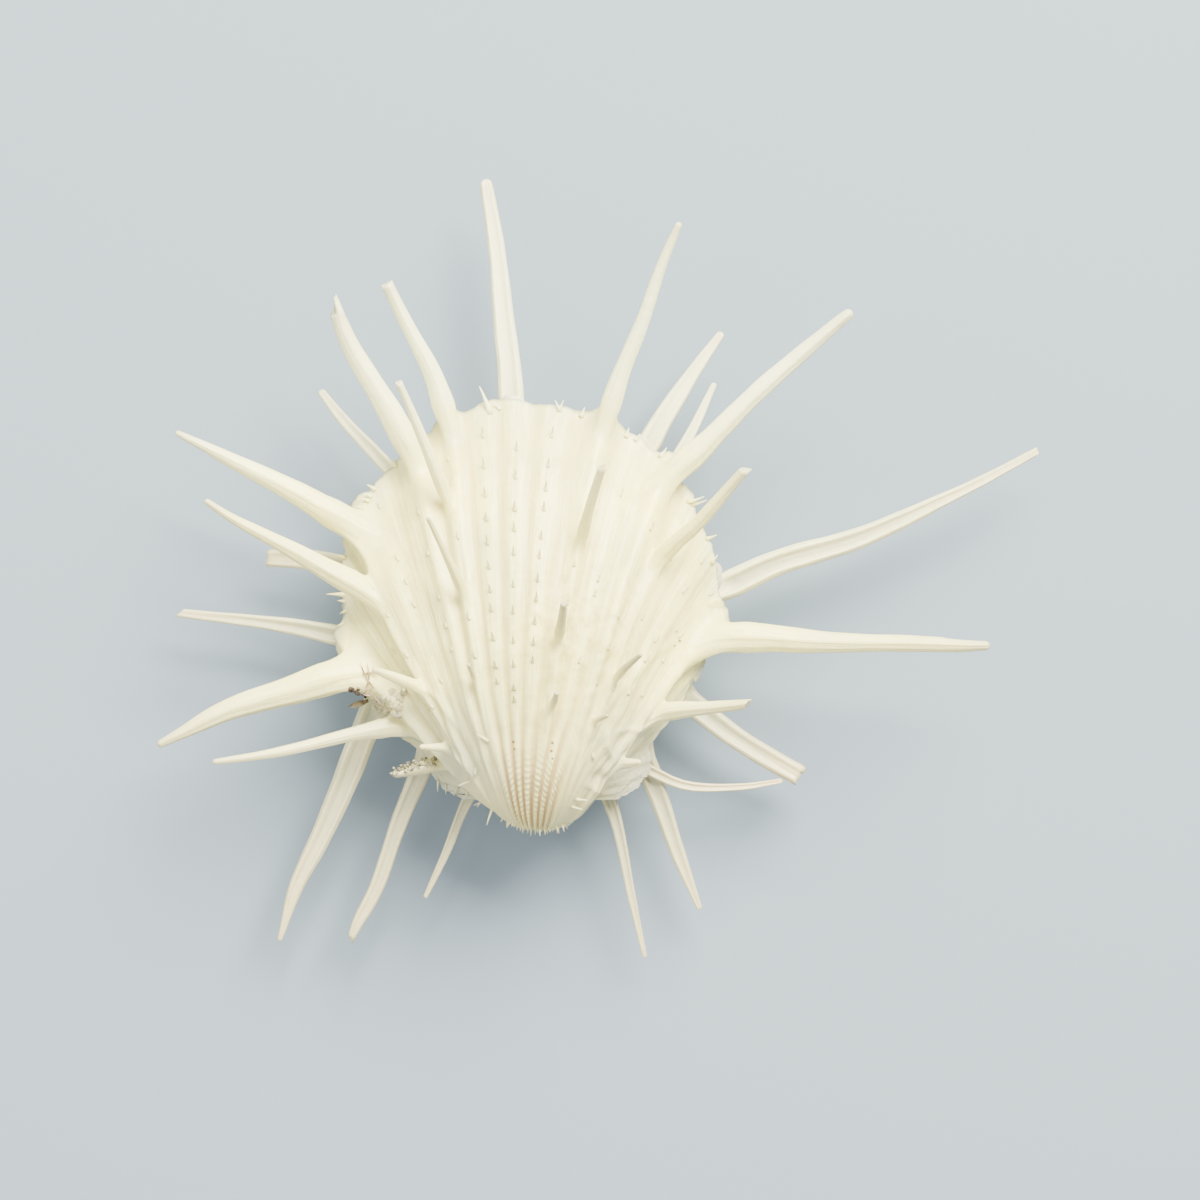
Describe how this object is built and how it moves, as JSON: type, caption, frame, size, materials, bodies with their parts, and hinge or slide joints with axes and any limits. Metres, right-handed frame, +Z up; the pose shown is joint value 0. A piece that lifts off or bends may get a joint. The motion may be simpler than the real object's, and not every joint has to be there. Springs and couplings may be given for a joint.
{
  "type": "thorny oyster shell",
  "caption": "Closed thorny oyster shell with a ribbed, beaded upper valve, long smooth and channelled spines all round, and a flat attachment scar beneath.",
  "frame": {"origin": "middle of the flat attachment scar under the lower valve, on which the shell rests", "axes": "+Z up, out of the upper valve; +Y from the hinge towards the front margin; +X to the right, seen from above with the hinge nearest"},
  "size_m": [0.1767, 0.1574, 0.0533],
  "materials": {
    "upper_calcite": "satin",
    "lower_calcite": "satin"
  },
  "bodies": {
    "root": {"upper_valve": "upper_calcite", "lower_valve": "lower_calcite"}
  },
  "joints": []
}
